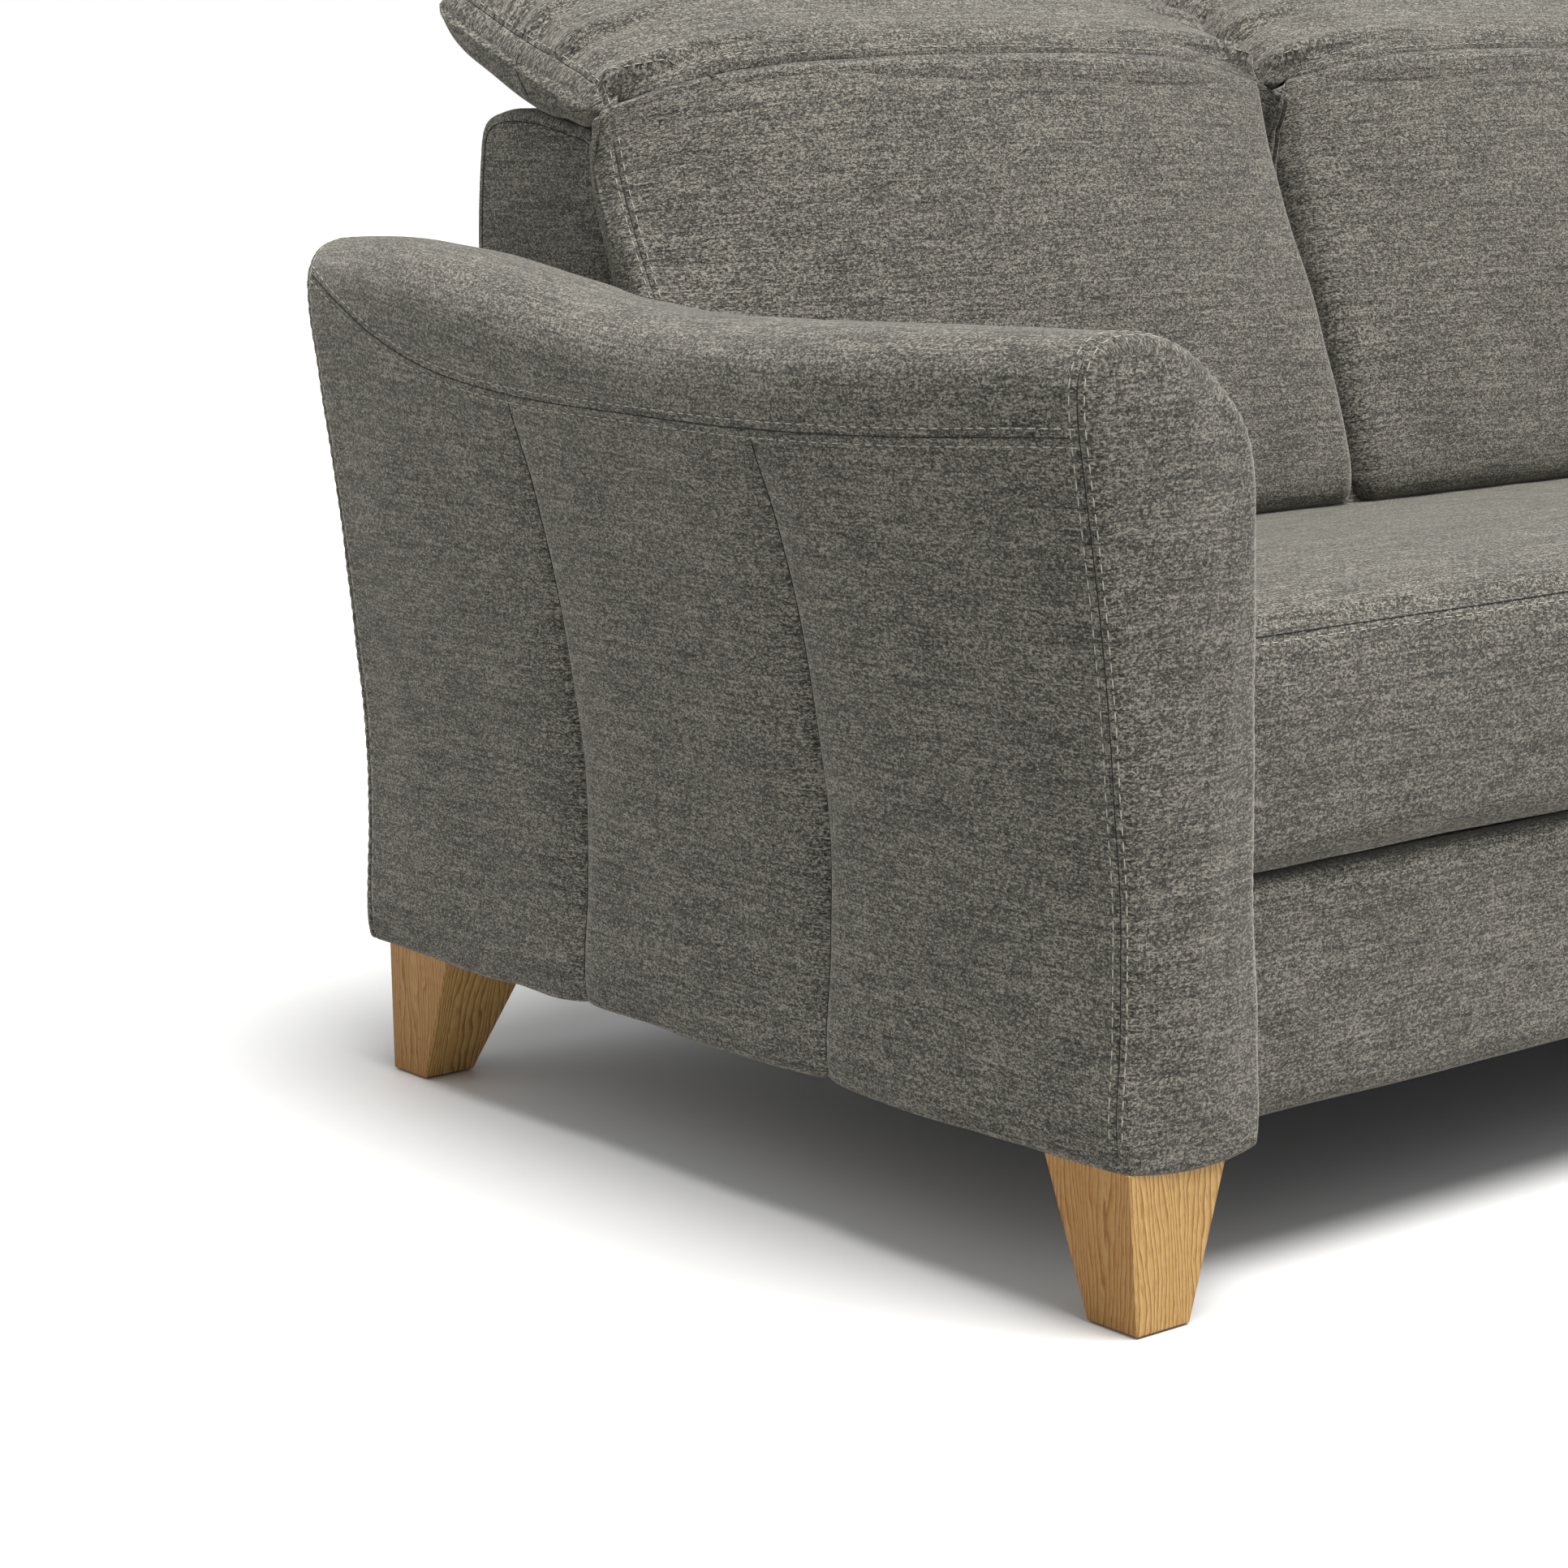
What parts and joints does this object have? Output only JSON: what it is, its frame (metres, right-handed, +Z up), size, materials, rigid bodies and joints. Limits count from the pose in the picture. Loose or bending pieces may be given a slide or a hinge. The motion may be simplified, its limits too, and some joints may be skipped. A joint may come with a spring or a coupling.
{
  "type": "sofa with wooden legs",
  "caption": "Upholstered sofa with a bench seat, flared padded arms, tilting headrests and tapered wooden legs.",
  "frame": {"origin": "on the floor at the middle of the outline", "axes": "+X to the sofa's right as seen from the front, -Y is the front, +Z up"},
  "size_m": [1.8268, 0.9499, 0.9206],
  "materials": {
    "chenille_fabric": "melange chenille weave, matt with a soft sheen",
    "oiled_oak": "oiled oak, satin",
    "beech_timber": "planed timber, raw",
    "birch_plywood": "raw plywood",
    "zinc_steel": "bright zinc plate",
    "spring_steel": "oiled spring wire",
    "felt_glide": "dark felt",
    "insulator_felt": "needled felt",
    "black_nonwoven": "spun-bonded cloth",
    "elastic_webbing": "woven elastic strap",
    "black_plastic": "moulded, fine grain"
  },
  "bodies": {
    "base": {"arm_bolts_left": "zinc_steel", "arm_bolts_right": "zinc_steel", "arm_bottom_rail_left": "beech_timber", "arm_bottom_rail_right": "beech_timber", "arm_pad_left": "chenille_fabric", "arm_pad_right": "chenille_fabric", "arm_posts_left": "beech_timber", "arm_posts_right": "beech_timber", "arm_stiles_left": "beech_timber", "arm_stiles_right": "beech_timber", "arm_top_rail_left": "beech_timber", "arm_top_rail_right": "beech_timber", "back_cover": "chenille_fabric", "back_cushion_left": "chenille_fabric", "back_cushion_right": "chenille_fabric", "back_lower_rail": "beech_timber", "back_middle_rail": "beech_timber", "back_post_centre": "birch_plywood", "back_post_left": "birch_plywood", "back_post_right": "birch_plywood", "back_top_rail": "beech_timber", "back_webbing": "elastic_webbing", "bracket_screws": "zinc_steel", "centre_support_foot": "black_plastic", "centre_support_leg": "black_plastic", "dust_cover": "black_nonwoven", "front_apron": "chenille_fabric", "headrest_brackets": "zinc_steel", "headrest_friction_washers": "black_plastic", "headrest_rivets": "zinc_steel", "leg_bolts": "zinc_steel", "leg_front_left": "oiled_oak", "leg_front_right": "oiled_oak", "leg_glides": "felt_glide", "leg_plates": "zinc_steel", "leg_rear_left": "oiled_oak", "leg_rear_right": "oiled_oak", "seat_centre_rail": "beech_timber", "seat_corner_blocks": "beech_timber", "seat_cushion": "chenille_fabric", "seat_felt": "insulator_felt", "seat_front_rail": "beech_timber", "seat_rear_rail": "beech_timber", "seat_side_rail_left": "beech_timber", "seat_side_rail_right": "beech_timber", "seat_springs": "spring_steel", "spring_clips": "zinc_steel"},
    "headrest_left": {"headrest_board_left": "birch_plywood", "headrest_hinge_arms_left": "zinc_steel", "headrest_pad_left": "chenille_fabric", "headrest_screws_left": "zinc_steel"},
    "headrest_right": {"headrest_board_right": "birch_plywood", "headrest_hinge_arms_right": "zinc_steel", "headrest_pad_right": "chenille_fabric", "headrest_screws_right": "zinc_steel"}
  },
  "joints": [
    {"name": "headrest_left_tilt", "type": "hinge", "parent": "base", "child": "headrest_left", "pos_m": [-0.369, 0.289, 0.795], "axis": [1, 0, 0], "range_deg": [0, 50]},
    {"name": "headrest_right_tilt", "type": "hinge", "parent": "base", "child": "headrest_right", "pos_m": [0.369, 0.289, 0.795], "axis": [1, 0, 0], "range_deg": [0, 50]}
  ]
}
